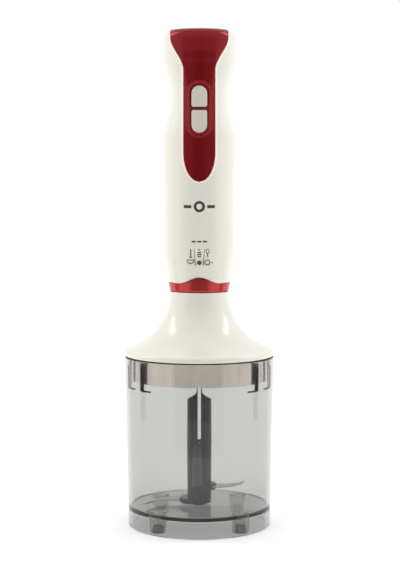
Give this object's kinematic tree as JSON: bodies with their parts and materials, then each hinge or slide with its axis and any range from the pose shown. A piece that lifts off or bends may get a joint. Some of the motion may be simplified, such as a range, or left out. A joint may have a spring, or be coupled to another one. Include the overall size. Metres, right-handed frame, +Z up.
{
  "type": "hand blender with chopper attachment",
  "caption": "Handheld electric blender motor handle with two push buttons, standing on a geared chopper lid and clear bowl with an S-shaped blade.",
  "frame": {"origin": "centre of the bowl's foot, on the plane it stands on", "axes": "+Z up along the common axis of bowl, lid and handle; front, with the buttons, towards -Y"},
  "size_m": [0.113, 0.113, 0.3743],
  "materials": {
    "clear_plastic": "glossy, slightly smoky clear plastic",
    "polished_steel": "polished",
    "pad_rubber": "matt",
    "hub_plastic": "fine matt",
    "bush_bronze": "satin",
    "blade_steel": "brushed",
    "cream_plastic": "glossy pearl",
    "band_steel": "satin, warm",
    "inner_plastic": "satin",
    "seal_rubber": "matt",
    "gear_plastic": "natural nylon",
    "screw_steel": "machined",
    "dark_plastic": "satin",
    "panel_plastic": "deep gloss",
    "ring_plastic": "gloss",
    "button_plastic": "satin",
    "board_laminate": "solder mask",
    "magnet_ferrite": "matt",
    "core_steel": "laminated",
    "copper_wire": "enamelled"
  },
  "bodies": {
    "bowl": {"bowl": "clear_plastic", "bowl_pin": "polished_steel", "foot_pads": "pad_rubber"},
    "blade": {"blade_hub": "hub_plastic", "hub_bush": "bush_bronze", "upper_blade": "blade_steel", "lower_blade": "blade_steel"},
    "lid": {"lid_cover": "cream_plastic", "lid_band": "band_steel", "lid_base": "inner_plastic", "lid_seal": "seal_rubber", "ring_gear": "gear_plastic", "gearbox_cover": "inner_plastic", "input_bush": "bush_bronze", "neck_bush": "bush_bronze", "output_bush": "bush_bronze", "lid_screws": "screw_steel"},
    "sun": {"sun_gear": "screw_steel", "lid_coupling": "dark_plastic"},
    "carrier": {"planet_carrier": "screw_steel", "planet_pins": "polished_steel", "output_socket": "screw_steel"},
    "planet_1": {"planet_gear_1": "gear_plastic"},
    "planet_2": {"planet_gear_2": "gear_plastic"},
    "planet_3": {"planet_gear_3": "gear_plastic"},
    "gasket": {"neck_gasket": "seal_rubber"},
    "handle": {"front_housing": "cream_plastic", "rear_housing": "cream_plastic", "control_panel": "panel_plastic", "collar_ring": "ring_plastic", "coupling_socket": "dark_plastic", "cable_gland": "seal_rubber", "upper_button_spring": "seal_rubber", "lower_button_spring": "seal_rubber", "circuit_board": "board_laminate", "board_components": "dark_plastic", "upper_switch": "dark_plastic", "lower_switch": "dark_plastic", "motor_can": "screw_steel", "magnets": "magnet_ferrite", "brush_plate": "board_laminate", "brushes": "magnet_ferrite", "upper_bearing": "polished_steel", "lower_bearing": "polished_steel", "lower_mount": "dark_plastic", "upper_mount": "dark_plastic", "mount_screws": "screw_steel"},
    "rotor": {"motor_shaft": "polished_steel", "armature_core": "core_steel", "armature_windings": "copper_wire", "commutator": "copper_wire", "cooling_fan": "dark_plastic", "drive_coupling": "dark_plastic"},
    "upper_key": {"upper_button": "button_plastic"},
    "lower_key": {"lower_button": "button_plastic"}
  },
  "joints": [
    {"name": "lid_lift", "type": "slide", "parent": "bowl", "child": "lid", "axis": [0, 0, 1], "range_m": [0, 0.12]},
    {"name": "handle_twist", "type": "hinge", "parent": "lid", "child": "gasket", "pos_m": [0, 0, 0.175], "axis": [0, 0, 1], "range_deg": [0, 25]},
    {"name": "handle_lift", "type": "slide", "parent": "gasket", "child": "handle", "axis": [0, 0, 1], "range_m": [0, 0.06]},
    {"name": "motor_spin", "type": "hinge", "parent": "handle", "child": "rotor", "pos_m": [0, 0, 0.25], "axis": [0, 0, 1], "continuous": true},
    {"name": "sun_spin", "type": "hinge", "parent": "lid", "child": "sun", "pos_m": [0, 0, 0.15], "axis": [0, 0, 1], "continuous": true},
    {"name": "carrier_spin", "type": "hinge", "parent": "lid", "child": "carrier", "pos_m": [0, 0, 0.112], "axis": [0, 0, 1], "continuous": true},
    {"name": "planet_1_spin", "type": "hinge", "parent": "carrier", "child": "planet_1", "pos_m": [0.0144, 0, 0.119], "axis": [0, 0, 1], "continuous": true},
    {"name": "planet_2_spin", "type": "hinge", "parent": "carrier", "child": "planet_2", "pos_m": [-0.0072, 0.01247, 0.119], "axis": [0, 0, 1], "continuous": true},
    {"name": "planet_3_spin", "type": "hinge", "parent": "carrier", "child": "planet_3", "pos_m": [-0.0072, -0.01247, 0.119], "axis": [0, 0, 1], "continuous": true},
    {"name": "blade_spin", "type": "hinge", "parent": "bowl", "child": "blade", "pos_m": [0, 0, 0.05], "axis": [0, 0, 1], "continuous": true},
    {"name": "upper_button_press", "type": "slide", "parent": "handle", "child": "upper_key", "axis": [0, 1, 0], "range_m": [0, 0.0015], "stiffness_N_per_m": 900, "deforming": ["upper_button_spring"]},
    {"name": "lower_button_press", "type": "slide", "parent": "handle", "child": "lower_key", "axis": [0, 1, 0], "range_m": [0, 0.0015], "stiffness_N_per_m": 900, "deforming": ["lower_button_spring"]}
  ],
  "couplings": [
    {"joint": "sun_spin", "follows": "motor_spin", "ratio": 1},
    {"joint": "carrier_spin", "follows": "motor_spin", "ratio": 0.16667},
    {"joint": "planet_1_spin", "follows": "motor_spin", "ratio": -0.41667},
    {"joint": "planet_2_spin", "follows": "motor_spin", "ratio": -0.41667},
    {"joint": "planet_3_spin", "follows": "motor_spin", "ratio": -0.41667},
    {"joint": "blade_spin", "follows": "motor_spin", "ratio": 0.16667}
  ]
}
